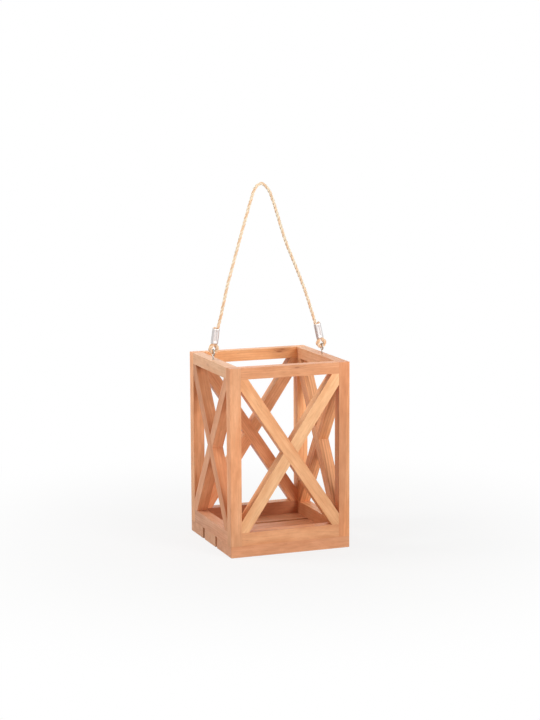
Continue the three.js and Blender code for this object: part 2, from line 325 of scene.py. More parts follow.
def makeFerrule(side):
    name = "left_ferrule" if side < 0 else "right_ferrule"
    tilt = tiltOf(side)
    foot = Vector((side * rope["eyeAcross"], 0, rope["pivot"]))
    along = Vector((-side * math.sin(tilt), 0, math.cos(tilt)))
    across = Vector((math.cos(tilt), 0, side * math.sin(tilt)))
    length, low = rope["ferruleLength"], rope["ferruleRise"]
    outer, easing = ferrule["bore"] + ferrule["wall"], ferrule["round"]
    steps = ferrule["steps"]

    # Place along the sleeve and radius, round the rim of its end
    def rim(turn):
        angle = math.radians(turn)
        return easing * (1 - math.cos(angle)), outer - easing * (1 - math.sin(angle))

    rings = [(0, ferrule["bore"]), (0, outer - easing)] + [rim(turn) for turn in (30, 60, 90)]
    rings += [(easing + (length - 2 * easing) * k / steps, outer) for k in range(1, steps)]
    rings += [(length - place, radius) for place, radius in map(rim, (90, 60, 30, 0))]
    rings += [(length, ferrule["bore"])]
    verts = []
    for place, radius in rings:
        inwards = min(place, length - place)
        press = max(0.0, min(1.0, (inwards - ferrule["pinchEnds"] / 2) / ferrule["pinchEnds"]))
        press = press * press * (3 - 2 * press) if radius > ferrule["bore"] else 0
        for x, y in sleeveOutline(radius, ferrule["pinch"] * press):
            verts.append(foot + along * (low + place) + across * x + Vector((0, y, 0)))
    faces = tubeFaces(len(rings), len(verts) // len(rings), closed=True)
    sleeve = makeObject(f"{name}_sleeve", verts, faces)
    bm = bmesh.new()
    bm.from_mesh(sleeve.data)
    bmesh.ops.recalc_face_normals(bm, faces=bm.faces)
    bm.to_mesh(sleeve.data)
    bm.free()
    sleeve.data.set_sharp_from_angle(angle=ferrule["sharpAngle"])
    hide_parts(name)
    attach(sleeve, "handle")
    return sleeve


def makeFerrules():
    return [makeFerrule(side) for side in (-1, 1)]


makeCamera()
ropeObject = makeRope()
print("camera and rope made")


# Small helpers for the material nodes; a value can be a number or another node's output
def newMaterial(name):
    material = bpy.data.materials.new(name)
    material.use_nodes = True
    tree = material.node_tree
    return material, tree, tree.nodes["Principled BSDF"]


def feed(tree, socket, value):
    if isinstance(value, bpy.types.NodeSocket):
        tree.links.new(value, socket)
    else:
        socket.default_value = value


def calc(tree, operation, *values, clamp=False):
    node = tree.nodes.new("ShaderNodeMath")
    node.operation = operation
    node.use_clamp = clamp
    for socket, value in zip(node.inputs, values):
        feed(tree, socket, value)
    return node.outputs[0]


def vectorCalc(tree, operation, *values):
    node = tree.nodes.new("ShaderNodeVectorMath")
    node.operation = operation
    for socket, value in zip(node.inputs, values):
        feed(tree, socket, value)
    return node.outputs["Value" if operation == "LENGTH" else "Vector"]


def noise(tree, vector, scale, detail=2.0, roughness=0.5, distortion=0.0, output="Fac"):
    node = tree.nodes.new("ShaderNodeTexNoise")
    feed(tree, node.inputs["Vector"], vector)
    node.inputs["Scale"].default_value = scale
    node.inputs["Detail"].default_value = detail
    node.inputs["Roughness"].default_value = roughness
    node.inputs["Distortion"].default_value = distortion
    return node.outputs[output]


def spread(tree, value, low, high, newLow=0.0, newHigh=1.0, smooth=False):
    node = tree.nodes.new("ShaderNodeMapRange")
    node.interpolation_type = "SMOOTHSTEP" if smooth else "LINEAR"
    for socket, number in zip(list(node.inputs)[:5], (value, low, high, newLow, newHigh)):
        feed(tree, socket, number)
    return node.outputs[0]


def blendColours(tree, factor, first, second, way="MIX"):
    node = tree.nodes.new("ShaderNodeMix")
    node.data_type = "RGBA"
    node.blend_type = way
    feed(tree, node.inputs[0], factor)
    feed(tree, node.inputs[6], first)
    feed(tree, node.inputs[7], second)
    return node.outputs[2]


# Colour from 0 to 255, as it is on a screen, turned into the linear values of the nodes
def paint(red, green, blue):
    def linear(v):
        return v / 12.92 if v <= 0.04045 else ((v + 0.055) / 1.055) ** 2.4

    return tuple(linear(v / 255) for v in (red, green, blue)) + (1.0,)


def separated(tree, vector):
    node = tree.nodes.new("ShaderNodeSeparateXYZ")
    tree.links.new(vector, node.inputs[0])
    return node.outputs


def objectPlace(tree):
    return tree.nodes.new("ShaderNodeTexCoord").outputs["Object"]


def stretchedNoise(tree, vector, scales, *details, **options):
    return noise(tree, vectorCalc(tree, "MULTIPLY", vector, scales), 1, *details, **options)


# 1 for what the camera sees, also in shiny and clear things, and 0 for light on its way elsewhere
def seenDirectly(tree):
    path = tree.nodes.new("ShaderNodeLightPath")
    seen = calc(tree, "MAXIMUM", path.outputs["Is Camera Ray"], path.outputs["Is Glossy Ray"])
    return calc(tree, "MAXIMUM", seen, path.outputs["Is Transmission Ray"])


def darkened(colour, share):
    return tuple(v * share for v in colour[:3]) + (1.0,)


def bump(tree, shader, height, distance, strength):
    node = tree.nodes.new("ShaderNodeBump")
    node.inputs["Distance"].default_value = distance
    node.inputs["Strength"].default_value = strength
    feed(tree, node.inputs["Height"], height)
    tree.links.new(node.outputs["Normal"], shader.inputs["Normal"])


# Timber: planed softwood with an oiled finish
timber = {
    "frame": {"early": (238, 172, 124), "late": (212, 136, 91), "warm": (229, 157, 108)},
    "brace": {"early": (240, 182, 134), "late": (214, 142, 96), "warm": (231, 165, 116)},
    "slat": {"early": (228, 165, 122), "late": (200, 131, 91), "warm": (218, 150, 106)},
    "heartAndShade": (178, 106, 72),
    "ringWidth": 3.4 * mm,
    "ringContrast": (0.25, 0.6),
    "lateRise": (0.35, 0.88),  # share of a ring over which its late wood darkens
    "lateFall": (0.94, 1.0),
    "figureShade": 0.3,  # how much darker the late wood is where rings are strong
    "lateRidge": 0.7,  # how far it stands up beside the fibres
    "patches": (0.35, 0.68),
    "streaks": (0.70, 0.78),
    "streakDepth": 0.35,
    "fibreTone": (0.93, 1.06),
    "knot": (152, 72, 34),
    "roughness": (0.53, 0.41),
    "gloss": 0.28,
    "endShade": 0.94,  # end grain drinks more oil
    "endSkin": 0.15 * mm,  # how deep the ends count as end grain
    "blotch": (0.06, 0.085, 0.11),  # how unevenly a board took the oil
    # How strongly each board's tone, with its painted shade and painted sheen, is applied
    "toneAndLightStrength": 0.45,
    "pith": (24, 50),  # range of places for a piece that has none in cuts
    "apart": 0.73,  # metres along the log from piece to piece
    "tilt": 1.1,  # degrees, at most, between the grain and the piece
    "sway": 11 * mm,  # how far the rings waver
    "seasons": (170, 2.2),  # how often wide and narrow years take turns, and how strongly
    "heartEdge": 1.5 * mm,  # half the width of its soft edge
    "heartSway": 2.5 * mm,
    "relief": 0.06 * mm,
}

# Scales of the noise in the wood, along the grain and across it
grainScales = {
    "sway": (5, 22, 22),
    "strength": (2, 120, 120),
    "patch": (9, 60, 60),
    "fibre": (45, 1500, 1500),
    "mottle": (42, 130, 130),
    "streak": (70, 900, 900),
}
# A knot: lengths are shares of its reach
knotShape = {
    "around": 2.6,  # how far out the rings bend
    "push": 1.3,
    "core": 0.2,  # where it is at its darkest
    "halo": 0.3,  # how dark the wood round it is
    "stretch": (0.28, 1, 1),  # it runs out along the grain
}

# Each piece is cut from its own place in a log: its middle seen from the pith, across and up, in mm
cuts = {
    "front_left_post": (-34, 30), "front_right_post": (46, -16), "back_left_post": (30, 38),
    "back_right_post": (-28, 44), "front_top_rail": (18, 52), "front_bottom_rail": (-60, 24),
    "back_top_rail": (22, 36), "back_bottom_rail": (40, 30), "left_top_rail": (-44, 26),
    "left_bottom_rail": (26, 48), "right_top_rail": (38, 34), "right_bottom_rail": (-30, 40),
    "front_slat": (14, 66), "middle_slat": (-20, 54), "back_slat": (10, 60),
}
# Knots: along, across and up from the piece's middle and how far they reach, in mm, and how dark
knots = {
    "front_top_rail": [(11, -9, 5, 2.2, 0.6)],
    "back_top_rail": [(50, -9, 3, 2.6, 0.7), (57, -9, 6, 2.2, 0.5)],
    "right_bottom_rail": [(-34, -8, 5, 3.2, 0.7)],
    "left_top_rail": [(8, 9, 0, 1.5, 0.35)],
    "right_falling_brace": [(88, 2, -9, 2.4, 0.6)],
}
# Where a piece reaches the dark heartwood of its log: its radius in mm, and how dark it is. On
# these pieces inside the frame the dark band also stands in for the shade there: painted shade
heartsAndShade = {
    "front_right_post": (54.5, 0.35), "back_bottom_rail": (52, 0.8),
    "right_bottom_rail": (52, 0.35), "left_rising_brace": (42, 0.5),
    "right_falling_brace": (40, 0.3),
}
# Boards that are paler, or darker below zero, towards their far end and in the middle: partly the
# wood's own tone, partly painted light and shade where light falls unevenly along them
alongToneAndShade = {
    "front_left_post": (0.06, 0.21), "front_right_post": (0.08, -0.16),
    "back_left_post": (0.10, 0.02), "back_right_post": (0.20, 0.17),
    "front_rising_brace": (0.07, -0.08), "front_falling_brace": (-0.11, 0.03),
    "back_rising_brace": (-0.11, 0.25), "back_falling_brace": (0.18, -0.03),
    "left_falling_brace": (0.09, 0.12), "left_bottom_rail": (-0.11, 0.02),
    "front_bottom_rail": (-0.02, 0.06), "front_top_rail": (0, -0.05),
}
# How strongly the rings show, where it isn't the usual
figures = {
    "front_rising_brace": 0.45, "front_falling_brace": 0.55, "front_left_post": 0.5,
    "front_bottom_rail": 0.5, "front_top_rail": 0.7, "front_slat": 0.6,
    "right_rising_brace": 1.5, "right_falling_brace": 1.5, "back_right_post": 1.2,
    "right_bottom_rail": 1.1, "right_top_rail": 0.6, "left_top_rail": 0.5,
}
# Some boards are darker, paler or redder than the rest: red, green and blue. This is partly the
# wood's own tone and partly painted light: painted shade on boards inside the frame, and a painted
# pale sheen on the top rails
tonesAndPaintedLight = {
    "back_bottom_rail": (0.86, 0.93, 0.96), "back_falling_brace": (1.13, 1.10, 1.11),
    "back_left_post": (1.08, 1.13, 1.17), "back_right_post": (1.25, 1.32, 1.29),
    "back_rising_brace": (0.96, 0.85, 0.81), "back_slat": (0.98, 1.06, 1.14),
    "back_top_rail": (1.12, 1.17, 1.06), "front_bottom_rail": (0.93, 0.93, 0.94),
    "front_falling_brace": (1.02, 1.00, 0.97), "front_left_post": (1.04, 1.06, 1.11),
    "front_right_post": (1.00, 0.99, 0.97), "front_rising_brace": (1.06, 1.13, 1.15),
    "front_slat": (1.01, 1.01, 1.04), "front_top_rail": (0.97, 0.96, 0.98),
    "left_bottom_rail": (0.89, 0.95, 1.12), "left_falling_brace": (0.81, 0.68, 0.63),
    "left_rising_brace": (0.92, 0.84, 0.86), "left_top_rail": (0.99, 1.19, 1.42),
    "middle_slat": (1.02, 1.09, 1.16), "right_bottom_rail": (1.07, 1.17, 1.20),
    "right_falling_brace": (1.11, 1.08, 1.00), "right_rising_brace": (0.98, 0.98, 0.98),
    "right_top_rail": (0.99, 1.08, 1.18),
}


def woodMaterial(name, kind, halfLength, seed):
    # Each board's tone, partly painted shade and painted sheen
    toneAndLight = [share ** timber["toneAndLightStrength"] for share in tonesAndPaintedLight.get(name, (1, 1, 1))]
    look = {}
    for part, shade in timber[kind].items():
        look[part] = tuple(min(255, c * t) for c, t in zip(shade, toneAndLight))
    figure = figures.get(name, 1)
    if figure > 1:
        darker = 1 - timber["figureShade"] * (figure - 1)
        look["late"] = tuple(c * darker for c in look["late"])
    pick = random.Random(seed)
    pith = timber["pith"]
    across, up = cuts.get(name, (pick.uniform(*pith) * pick.choice((-1, 1)), pick.uniform(*pith)))
    material, tree, shader = newMaterial(f"{name}_wood")
    place = objectPlace(tree)
    log = tree.nodes.new("ShaderNodeMapping")
    tree.links.new(place, log.inputs["Vector"])
    log.inputs["Location"].default_value = (seed * timber["apart"], across * mm, up * mm)
    tilts = [math.radians(pick.uniform(-timber["tilt"], timber["tilt"])) for _ in range(2)]
    log.inputs["Rotation"].default_value = (0, *tilts)
    grain = log.outputs["Vector"]

    def grainNoise(part, *details, **options):
        return stretchedNoise(tree, grain, grainScales[part], *details, **options)

    # Growth rings round the pith, wavering along the log and pushed aside by knots
    sway = vectorCalc(tree, "SUBTRACT", grainNoise("sway", 2, output="Color"), (0.5, 0.5, 0.5))
    bent = vectorCalc(tree, "MULTIPLY_ADD", sway, (0, timber["sway"], timber["sway"]), grain)
    radius = vectorCalc(tree, "LENGTH", vectorCalc(tree, "MULTIPLY", bent, (0, 1, 1)))
    knotShades = []
    for along, side, height, reach, darkness in knots.get(name, []):
        away = vectorCalc(tree, "SUBTRACT", place, (along * mm, side * mm, height * mm))
        away = vectorCalc(tree, "LENGTH", vectorCalc(tree, "MULTIPLY", away, knotShape["stretch"]))
        near = spread(tree, away, reach * knotShape["around"] * mm, 0, smooth=True)
        radius = calc(tree, "MULTIPLY_ADD", near, reach * knotShape["push"] * mm, radius)
        outer, inner = reach * mm, reach * knotShape["core"] * mm
        core = spread(tree, away, outer, inner, 0, darkness, smooth=True)
        halo = calc(tree, "MULTIPLY", near, knotShape["halo"])
        knotShades.append(calc(tree, "MAXIMUM", core, halo))
    often, strongly = timber["seasons"]
    season = noise(tree, calc(tree, "MULTIPLY", radius, often), 1, 1)
    rings = calc(tree, "DIVIDE", radius, timber["ringWidth"])
    rings = calc(tree, "MULTIPLY_ADD", season, strongly, rings)
    phase = calc(tree, "FRACT", rings)
    late = calc(
        tree, "MULTIPLY",
        spread(tree, phase, *timber["lateRise"], smooth=True),
        spread(tree, phase, *timber["lateFall"], 1, 0),
    )
    strength = spread(tree, grainNoise("strength", 1), 0.3, 0.7, *timber["ringContrast"])
    late = calc(tree, "MULTIPLY", late, calc(tree, "MULTIPLY", strength, figure), clamp=True)

    # Broad warm and pale patches, fine fibres, and a few short resin streaks
    patch = spread(tree, grainNoise("patch", 3, 0.55), *timber["patches"], smooth=True)
    fibre = grainNoise("fibre", 3, 0.6)
    streak = grainNoise("streak", 1)
    streak = spread(tree, streak, *timber["streaks"], 0, timber["streakDepth"])
    colour = blendColours(tree, patch, paint(*look["early"]), paint(*look["warm"]))
    # Dark heartwood band, partly painted shade on the faces inside the frame
    if name in heartsAndShade:
        limit, depth = heartsAndShade[name]
        edge = calc(tree, "SUBTRACT", patch, 0.5)
        edge = calc(tree, "MULTIPLY_ADD", edge, timber["heartSway"], radius)
        outer, inner = limit * mm + timber["heartEdge"], limit * mm - timber["heartEdge"]
        heartAndShade = spread(tree, edge, outer, inner, 0, depth, smooth=True)
        colour = blendColours(tree, heartAndShade, colour, paint(*timber["heartAndShade"]))
    colour = blendColours(tree, late, colour, paint(*look["late"]))
    colour = blendColours(tree, streak, colour, paint(*timber["knot"]))
    for knotShade in knotShades:
        colour = blendColours(tree, knotShade, colour, paint(*timber["knot"]))

    # Paler and darker along the piece, partly wood tone and partly painted light and shade, darker
    # at its cut ends, and unevenly oiled
    fibreTone = spread(tree, fibre, 0.25, 0.75, *timber["fibreTone"])
    along = separated(tree, place)[0]
    ends = calc(tree, "GREATER_THAN", calc(tree, "ABSOLUTE", along), halfLength - timber["endSkin"])
    endTone = spread(tree, ends, 0, 1, 1, timber["endShade"])
    # Painted light and shade along the piece, mixed with its own tone
    far, middle = alongToneAndShade.get(name, (0, 0))
    along = calc(tree, "DIVIDE", along, halfLength)
    shade = calc(tree, "MULTIPLY_ADD", along, -middle, far)
    shade = calc(tree, "MULTIPLY_ADD", along, shade, 1 + middle / 3)
    shade = calc(tree, "MULTIPLY", shade, calc(tree, "MULTIPLY", fibreTone, endTone))
    mottle = spread(tree, grainNoise("mottle", 3, 0.6), 0.3, 0.7, -1, 1, smooth=True)
    mottle = vectorCalc(tree, "MULTIPLY_ADD", mottle, timber["blotch"], (1, 1, 1))
    colour = vectorCalc(tree, "SCALE", vectorCalc(tree, "MULTIPLY", colour, mottle))
    feed(tree, colour.node.inputs["Scale"], shade)
    tree.links.new(colour, shader.inputs["Base Color"])

    rough = spread(tree, fibre, 0.3, 0.7, *timber["roughness"])
    tree.links.new(rough, shader.inputs["Roughness"])
    shader.inputs["Specular IOR Level"].default_value = timber["gloss"]
    ridge = calc(tree, "MULTIPLY_ADD", late, timber["lateRidge"], fibre)
    bump(tree, shader, ridge, timber["relief"], 0.8)
    return material


# Wooden bars: eased along their edges, bored for dowels and nails, half-lapped where they cross
joinery = {
    "edgeEase": 0.5 * mm,  # free long edges
    "jointEase": 0.2 * mm,  # edges that meet another piece
    "easeSteps": 3,
    "widestEase": 1.2 * mm,  # that an edge can be given
    "sharpAngle": math.radians(40),
    "braceWidth": 20 * mm,
    "lapGap": 0.12 * mm,
    "lapReach": 60 * mm,  # half the length of the block that cuts a lap
    "lapOver": 2 * mm,  # how far that block stands out of the brace
    "pinGap": 0.1 * mm,
}


def objectFromMesh(name, bm):
    mesh = bpy.data.meshes.new(name)
    bm.to_mesh(mesh)
    bm.free()
    return addObject(name, mesh)


# Prism with its outline in X and Y, each edge eased as much as ease() says for its two ends
def easedSolid(name, outline, thickness, ease):
    bm = bmesh.new()
    count = len(outline)
    low = [bm.verts.new((x, y, -thickness / 2)) for x, y in outline]
    high = [bm.verts.new((x, y, thickness / 2)) for x, y in outline]
    bm.faces.new(low[::-1])
    bm.faces.new(high)
    for k in range(count):
        n = (k + 1) % count
        bm.faces.new((low[k], low[n], high[n], high[k]))
    weight = bm.edges.layers.float.new("bevel_weight_edge")
    for edge in bm.edges:
        edge[weight] = ease(*(v.co for v in edge.verts)) / joinery["widestEase"]
    solid = objectFromMesh(name, bm)
    bevel = solid.modifiers.new("ease", "BEVEL")
    bevel.limit_method = "WEIGHT"
    bevel.width = joinery["widestEase"]
    bevel.segments = joinery["easeSteps"]
    return solid


# Solid turned round an axis from (radius, height) pairs, used to bore the wood
def turned(name, profile, matrix, sides=24):
    bm = bmesh.new()
    rings = []
    turns = [math.tau * k / sides for k in range(sides)]
    for radius, height in profile:
        corners = [(radius * math.cos(turn), radius * math.sin(turn), height) for turn in turns]
        rings.append([bm.verts.new(matrix @ Vector(corner)) for corner in corners])
    bm.faces.new(rings[0][::-1])
    bm.faces.new(rings[-1])
    for below, above in zip(rings, rings[1:]):
        for k in range(sides):
            n = (k + 1) % sides
            bm.faces.new((below[k], below[n], above[n], above[k]))
    return objectFromMesh(name, bm)


# Lays a bar's own X along one of the three axes
def axisMatrix(axis, centre):
    columns = {
        "x": ((1, 0, 0), (0, 1, 0), (0, 0, 1)),
        "y": ((0, 1, 0), (-1, 0, 0), (0, 0, 1)),
        "z": ((0, 0, 1), (1, 0, 0), (0, 1, 0)),
    }[axis]
    return Matrix.Translation(centre) @ Matrix(columns).transposed().to_4x4()


def dowelCutter(name):
    centre, size = middleAndSize(name)
    axis = "xyz"[max(range(3), key=lambda k: size[k])]
    gap = joinery["pinGap"]
    radius, reach = min(size) / 2 + gap, max(size) / 2 + gap
    turn = axisMatrix(axis, centre) @ Matrix.Rotation(math.radians(90), 4, "Y")
    return turned(f"{name}_bore", [(radius, -reach), (radius, reach)], turn)


nails = {
    "head": 5 * mm,
    "headHeight": 1.2 * mm,
    "shank": 2.2 * mm,
    "boreFrom": -1 * mm,  # height where the bores begin, clear of the slats' underside
}


def nailCutter(name):
    low, high = nodeBox(name)
    gap = joinery["pinGap"]
    head, shank = nails["head"] / 2 + 2 * gap, nails["shank"] / 2 + gap
    step = low.z + nails["headHeight"] + gap
    profile = [(head, nails["boreFrom"]), (head, step), (shank, step), (shank, high.z + gap)]
    centre = (low + high) / 2
    return turned(f"{name}_bore", profile, Matrix.Translation((centre.x, centre.y, 0)))


def meets(first, second):
    lowA, highA = nodeBox(first)
    lowB, highB = nodeBox(second)
    return all(lowA[k] < highB[k] and lowB[k] < highA[k] for k in range(3))


# Eased and cut shape of a solid as its own mesh, without the cutters, and its wood
def finishSolid(solid, cutters, material):
    for number, cutter in enumerate(cutters):
        cut = solid.modifiers.new(f"cut{number}", "BOOLEAN")
        cut.operation = "DIFFERENCE"
        cut.solver = "EXACT"
        cut.object = cutter
    bpy.context.view_layer.update()
    graph = bpy.context.evaluated_depsgraph_get()
    mesh = bpy.data.meshes.new_from_object(solid.evaluated_get(graph))
    solid.modifiers.clear()
    old, solid.data = solid.data, mesh
    bpy.data.meshes.remove(old)
    mesh.name = solid.name
    mesh.polygons.foreach_set("use_smooth", [True] * len(mesh.polygons))
    mesh.set_sharp_from_angle(angle=joinery["sharpAngle"])
    normals = solid.modifiers.new("normals", "WEIGHTED_NORMAL")
    normals.keep_sharp = True
    normals.weight = 100
    for cutter in cutters:
        tool = cutter.data
        bpy.data.objects.remove(cutter)
        bpy.data.meshes.remove(tool)
    mesh.materials.clear()
    mesh.materials.append(material)


def pinsIn(name):
    pins = [n for n in nodes if ("_dowel_" in n or "_nail_" in n) and meets(name, n)]
    return [dowelCutter(n) if "_dowel_" in n else nailCutter(n) for n in pins]


def makeBar(name, axis, kind, seed):
    centre, size = middleAndSize(name)
    turnedSizes = {"x": size, "y": (size.y, size.x, size.z), "z": (size.z, size.x, size.y)}
    length, across, up = turnedSizes[axis]

    # Edges that no other bar meets: posts outside and on top, top rails above, slats below
    def free(a, b):
        alongBar = abs(a.x - b.x) > length / 2
        if kind == "slat":
            return min(a.z, b.z) < 0
        if axis == "z":
            outside = all(v.y * centre.x > 0 and v.z * centre.y > 0 for v in (a, b))
            return outside if alongBar else min(a.x, b.x) > 0
        return alongBar and "top" in name and min(a.z, b.z) > 0

    def ease(a, b):
        return joinery["edgeEase"] if free(a, b) else joinery["jointEase"]

    x, y = length / 2, across / 2
    bar = easedSolid(f"{name}_bar", [(-x, -y), (x, -y), (x, y), (-x, y)], up, ease)
    bar.matrix_world = axisMatrix(axis, centre)
    finishSolid(bar, pinsIn(name), woodMaterial(name, kind, x, seed))
    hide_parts(name)
    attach(bar, "lantern")


# Outward and to the right, seen from outside, on each side of the frame
panels = {
    "front": (Vector((0, -1, 0)), Vector((1, 0, 0))),
    "right": (Vector((1, 0, 0)), Vector((0, 1, 0))),
    "back": (Vector((0, 1, 0)), Vector((-1, 0, 0))),
    "left": (Vector((-1, 0, 0)), Vector((0, -1, 0))),
}


def makeBrace(side, kind, seed):
    name = f"{side}_{kind}_brace"
    outward, toRight = panels[side]
    centre, size = middleAndSize(f"{side}_top_rail")
    # The opening's top and bottom, and half its width
    top, bottom = nodeBox(f"{side}_top_rail")[0].z, nodeBox(f"{side}_bottom_rail")[1].z
    reach, depth = max(size.x, size.y) / 2, min(size.x, size.y)
    rise = top - bottom
    slope = math.atan2(rise, 2 * reach)
    width = joinery["braceWidth"]
    alongRail, alongPost = width / 2 / math.sin(slope), width / 2 / math.cos(slope)
    sign = 1 if kind == "rising" else -1
    half = rise / 2
    corners = [
        (-reach, -half), (alongRail - reach, -half), (reach, half - alongPost),
        (reach, half), (reach - alongRail, half), (-reach, alongPost - half),
    ]
    c, s = math.cos(slope), math.sin(slope)
    outline = [(x * c + y * s, y * c - x * s) for x, y in corners]  # the brace lies along X
    if sign < 0:
        outline = [(x, -y) for x, y in outline[::-1]]
    longest = math.hypot(2 * reach, rise)

    def ease(a, b):
        return joinery["edgeEase"] if abs(a.x - b.x) > longest / 2 else joinery["jointEase"]

    brace = easedSolid(f"{name}_bar", outline, depth, ease)
    middle = Vector((centre.x, centre.y, (top + bottom) / 2))
    panel = Matrix((toRight, Vector((0, 0, 1)), outward)).transposed().to_4x4()
    brace.matrix_world = Matrix.Translation(middle) @ panel @ Matrix.Rotation(sign * slope, 4, "Z")
    # The falling brace runs through on the outside, the rising one on the inside
    lapDepth = depth / 2 + joinery["lapOver"]
    x, y = joinery["lapReach"], width / 2 + joinery["lapGap"]
    lap = easedSolid(f"{name}_lap", [(-x, -y), (x, -y), (x, y), (-x, y)], lapDepth, lambda a, b: 0)
    turn = Matrix.Rotation(-2 * sign * slope, 4, "Z")
    lap.matrix_world = brace.matrix_world @ turn @ Matrix.Translation((0, 0, sign * lapDepth / 2))
    finishSolid(brace, [lap], woodMaterial(name, "brace", longest / 2, seed))
    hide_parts(name)
    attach(brace, "lantern")


def makeFrame():
    seed = 1
    for end in ("front", "back"):
        for side in ("left", "right"):
            makeBar(f"{end}_{side}_post", "z", "frame", seed)
            seed += 1
    for side in panels:
        axis = "x" if side in ("front", "back") else "y"
        for level in ("top", "bottom"):
            makeBar(f"{side}_{level}_rail", axis, "frame", seed)
            seed += 1
        for kind in ("rising", "falling"):
            makeBrace(side, kind, seed)
            seed += 1
    for slat in ("front", "middle", "back"):
        makeBar(f"{slat}_slat", "x", "slat", seed)
        seed += 1
    print("frame, braces and slats made")


# Screw eyes: wire bent into a ring above a threaded shank
screwEye = {
    "wire": 2.4 * mm,
    "hole": 7.6 * mm,
    "rise": 5 * mm,  # ring above the wood
    "bend": 2.2 * mm,
    "threadRoot": 2.0 * mm,
    "threadCrest": 2.7 * mm,
    "threadPitch": 1.75 * mm,
    "threadLength": 14 * mm,
    "threadStep": 0.22 * mm,  # between rings of points
    "threadRings": 64,
    "threadFade": 0.8 * mm,  # the thread runs out just under the wood's top
    "point": 2.5 * mm,
    "tip": 0.12,  # size of the point's end
    "neckRings": 4,
    "neckIn": 0.35 * mm,  # how far the neck reaches into the ring
    "endRound": 0.7 * mm,  # of the wire's cut end
    "endSize": 0.6,
    "sides": 16,
    "sharpAngle": math.radians(60),
}


def eyeWirePath(wood):
    ring = (screwEye["hole"] + screwEye["wire"]) / 2
    middle = wood + screwEye["rise"] + screwEye["wire"] / 2 + ring
    bend, foot, steps = screwEye["bend"], wood - screwEye["threadLength"], screwEye["neckRings"]
    neck = middle - ring + screwEye["neckIn"] - bend
    path = [(0, foot + screwEye["threadStep"] * k) for k in range(screwEye["threadRings"])]
    path += [(0, wood + (neck - wood) * k / steps) for k in range(1, steps + 1)]
    for turn in range(15, 91, 15):
        angle = math.radians(turn)
        path.append((bend * (1 - math.cos(angle)), neck + bend * math.sin(angle)))
    for turn in range(30, 340, 6):
        angle = math.radians(turn)
        path.append((ring * math.sin(angle), middle - ring * math.cos(angle)))
    return path


# Radius of the thread at a depth under the wood's top and a share of a turn round it
def threadRadius(depth, around):
    root, crest = screwEye["threadRoot"], screwEye["threadCrest"]
    ridge = abs((depth / screwEye["threadPitch"] + around) % 1 * 2 - 1)
    radius = (root + (crest - root) * ridge ** 2) / 2
    radius *= min(1, screwEye["tip"] + (screwEye["threadLength"] - depth) / screwEye["point"])
    return radius + (screwEye["wire"] / 2 - radius) * max(0, 1 - depth / screwEye["threadFade"])


def makeScrewEye(name):
    centre = middleAndSize(name)[0]
    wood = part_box("left_top_rail")[1][2]
    path = [Vector((centre.x, y, z)) for y, z in eyeWirePath(wood)]
    half, count, endSize = screwEye["wire"] / 2, screwEye["sides"], screwEye["endSize"]
    verts = []
    acrossEye = Vector((1, 0, 0))
    for index, point in enumerate(path):
        ahead = (path[min(index + 1, len(path) - 1)] - path[max(index - 1, 0)]).normalized()
        side = ahead.cross(acrossEye)
        depth = wood - point.z
        fromEnd = min(1, (path[-1] - point).length / screwEye["endRound"])
        wire = half * (endSize + (1 - endSize) * math.sqrt(fromEnd))
        for k in range(count):
            angle = math.tau * k / count
            radius = threadRadius(depth, k / count) if depth > 0 else wire
            verts.append(point + (acrossEye * math.cos(angle) + side * math.sin(angle)) * radius)
    eye = makeObject(f"{name}_wire", verts, tubeFaces(len(path), count))
    eye.data.set_sharp_from_angle(angle=screwEye["sharpAngle"])
    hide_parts(name)
    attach(eye, "lantern")
    return eye


# Steel, aluminium and the dowels' beech: the noise scales are per metre along each axis
finishes = {
    "zinc": {
        "colour": (192, 184, 174), "darkest": 0.78, "metallic": 1, "roughness": (0.28, 0.44),
        "clouds": (260, 260, 260), "scratches": (900, 900, 900), "relief": 0.02 * mm,
    },
    "aluminium": {
        "colour": (214, 208, 206), "darkest": 0.78, "metallic": 0.85, "roughness": (0.32, 0.48),
        "clouds": (650, 650, 40), "scratches": (2200, 2200, 160), "relief": 0.02 * mm,
    },
    "beech": {
        "colour": (214, 176, 132), "darkest": 0.7, "roughness": (0.5, 0.65),
        "flecks": (600, 600, 90), "relief": 0.04 * mm,
    },
}


def metalMaterial(name, look):
    material, tree, shader = newMaterial(name)
    place = objectPlace(tree)
    cloud = stretchedNoise(tree, place, look["clouds"], 3, 0.6)
    fine = stretchedNoise(tree, place, look["scratches"], 2)
    bright = paint(*look["colour"])
    dark = darkened(bright, look["darkest"])
    shade = blendColours(tree, spread(tree, cloud, 0.35, 0.7), bright, dark)
    tree.links.new(shade, shader.inputs["Base Color"])
    shader.inputs["Metallic"].default_value = look["metallic"]
    rough = spread(tree, fine, 0.3, 0.7, *look["roughness"])
    tree.links.new(rough, shader.inputs["Roughness"])
    bump(tree, shader, fine, look["relief"], 0.6)
    return material


def dowelMaterial(look):
    material, tree, shader = newMaterial("beech_dowel")
    place = objectPlace(tree)
    flecks = stretchedNoise(tree, place, look["flecks"], 2)
    pale = paint(*look["colour"])
    dark = darkened(pale, look["darkest"])
    shade = blendColours(tree, spread(tree, flecks, 0.4, 0.7, 0, 0.6), pale, dark)
    tree.links.new(shade, shader.inputs["Base Color"])
    tree.links.new(spread(tree, flecks, 0.3, 0.7, *look["roughness"]), shader.inputs["Roughness"])
    bump(tree, shader, flecks, look["relief"], 0.5)
    return material


def dressMetal():
    zinc = metalMaterial("zinc_plate", finishes["zinc"])
    aluminium = metalMaterial("soft_aluminium", finishes["aluminium"])
    beech = dowelMaterial(finishes["beech"])
    for name, obj in nodes.items():
        finish = zinc if "_nail_" in name else None
        finish = beech if "_dowel_" in name else finish
        if finish:
            for slot in obj.material_slots:
                slot.link = "OBJECT"
                slot.material = finish
    for name in ("left", "right"):
        makeScrewEye(f"{name}_screw_eye").data.materials.append(zinc)
        scene.objects[f"{name}_ferrule_sleeve"].data.materials.append(aluminium)
    print("metal and dowels dressed")
